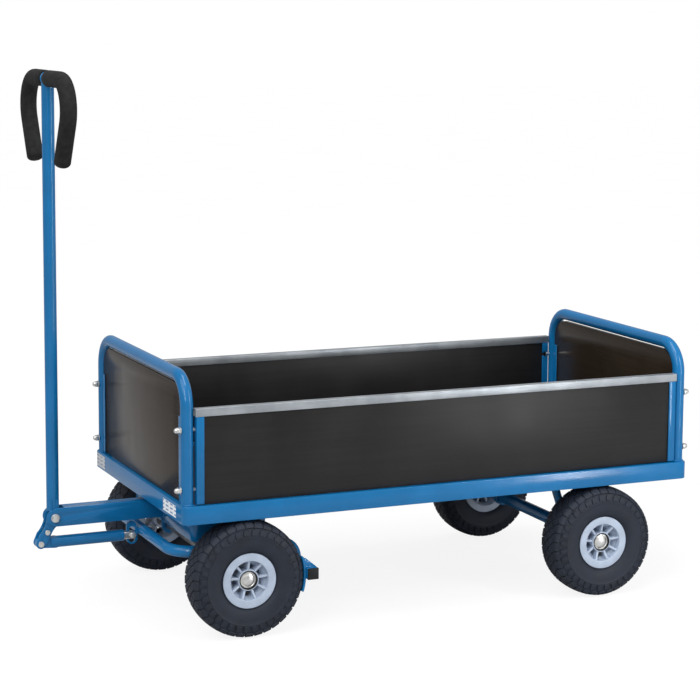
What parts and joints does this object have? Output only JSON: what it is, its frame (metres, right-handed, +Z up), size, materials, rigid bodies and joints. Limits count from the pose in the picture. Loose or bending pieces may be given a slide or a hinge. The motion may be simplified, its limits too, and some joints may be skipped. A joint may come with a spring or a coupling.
{
  "type": "garden cart",
  "caption": "Hand cart with low boarded walls on a flat platform, turntable steering, air-tyred wheels and an upright drawbar that works the parking brake.",
  "frame": {"origin": "on the ground, at the middle of the cart's overall length and width with the drawbar upright", "axes": "+X forward towards the drawbar, +Y to the cart's left, +Z up"},
  "size_m": [1.51, 0.683, 1.2245],
  "materials": {
    "blue_frame": "powder coated, semi-gloss",
    "zinc_fixings": "zinc plated",
    "rail_aluminium": "mill finish",
    "axle_steel": "turned",
    "ring_steel": "machined, oiled",
    "film_board": "phenolic film faced plywood",
    "foam_grip": "closed cell foam",
    "black_cap": "moulded",
    "tyre_rubber": "treaded",
    "wheel_plastic": "moulded"
  },
  "bodies": {
    "frame": {"rim_left": "blue_frame", "rim_right": "blue_frame", "rim_front": "blue_frame", "rim_rear": "blue_frame", "cross_members": "blue_frame", "floor_panel": "film_board", "front_hoop": "blue_frame", "rear_hoop": "blue_frame", "front_panel": "film_board", "rear_panel": "film_board", "panel_strips": "blue_frame", "left_wall": "film_board", "right_wall": "film_board", "left_top_rail": "rail_aluminium", "right_top_rail": "rail_aluminium", "wall_end_channels": "blue_frame", "wall_bolts": "zinc_fixings", "wall_nuts": "zinc_fixings", "rear_axle_tube": "blue_frame", "rear_axle_rod": "axle_steel", "rear_struts": "blue_frame", "rear_hub_caps": "zinc_fixings", "upper_slewing_ring": "ring_steel", "upper_ring_bolts": "zinc_fixings"},
    "turntable": {"lower_slewing_ring": "ring_steel", "slewing_balls": "ring_steel", "lower_ring_bolts": "zinc_fixings", "turntable_saddle": "blue_frame", "front_axle_rod": "axle_steel", "front_hub_caps": "zinc_fixings", "draw_beam": "blue_frame", "pivot_bolt": "zinc_fixings", "bow_guides": "blue_frame"},
    "drawbar": {"drawbar_tube": "blue_frame", "lever_plates": "blue_frame", "lever_bolts": "zinc_fixings", "handle_bow": "blue_frame", "left_grip": "foam_grip", "right_grip": "foam_grip"},
    "brake_link": {"link_tube": "blue_frame", "link_clevis": "zinc_fixings", "clevis_pin": "zinc_fixings"},
    "brake_bow": {"brake_bow": "blue_frame", "cross_bar": "blue_frame", "cross_bar_caps": "black_cap", "brake_shoes": "blue_frame"},
    "front_left_wheel": {"front_left_tyre": "tyre_rubber", "front_left_rim": "wheel_plastic", "front_left_bearings": "axle_steel"},
    "front_right_wheel": {"front_right_tyre": "tyre_rubber", "front_right_rim": "wheel_plastic", "front_right_bearings": "axle_steel"},
    "rear_left_wheel": {"rear_left_tyre": "tyre_rubber", "rear_left_rim": "wheel_plastic", "rear_left_bearings": "axle_steel"},
    "rear_right_wheel": {"rear_right_tyre": "tyre_rubber", "rear_right_rim": "wheel_plastic", "rear_right_bearings": "axle_steel"}
  },
  "joints": [
    {"name": "steer", "type": "hinge", "parent": "frame", "child": "turntable", "pos_m": [0.368, 0, 0.267], "axis": [0, 0, 1], "range_deg": [-50, 50]},
    {"name": "drawbar_tilt", "type": "hinge", "parent": "turntable", "child": "drawbar", "pos_m": [0.712, 0, 0.228], "axis": [0, 1, 0], "range_deg": [0, 70], "stiffness_Nm_per_rad": 14, "springref_deg": -17.19},
    {"name": "link_swing", "type": "hinge", "parent": "drawbar", "child": "brake_link", "pos_m": [0.744, 0, 0.17], "axis": [0, 1, 0], "range_deg": [-70, 0]},
    {"name": "brake_slide", "type": "slide", "parent": "turntable", "child": "brake_bow", "axis": [-1, 0, 0], "range_m": [0, 0.078]},
    {"name": "front_left_roll", "type": "hinge", "parent": "turntable", "child": "front_left_wheel", "pos_m": [0.368, 0.299, 0.129], "axis": [0, 1, 0], "continuous": true},
    {"name": "front_right_roll", "type": "hinge", "parent": "turntable", "child": "front_right_wheel", "pos_m": [0.368, -0.299, 0.129], "axis": [0, 1, 0], "continuous": true},
    {"name": "rear_left_roll", "type": "hinge", "parent": "frame", "child": "rear_left_wheel", "pos_m": [-0.512, 0.299, 0.129], "axis": [0, 1, 0], "continuous": true},
    {"name": "rear_right_roll", "type": "hinge", "parent": "frame", "child": "rear_right_wheel", "pos_m": [-0.512, -0.299, 0.129], "axis": [0, 1, 0], "continuous": true}
  ],
  "couplings": [
    {"joint": "link_swing", "follows": "drawbar_tilt", "ratio": -1},
    {"joint": "brake_slide", "follows": "drawbar_tilt", "m_per_rad": 0.0615}
  ]
}
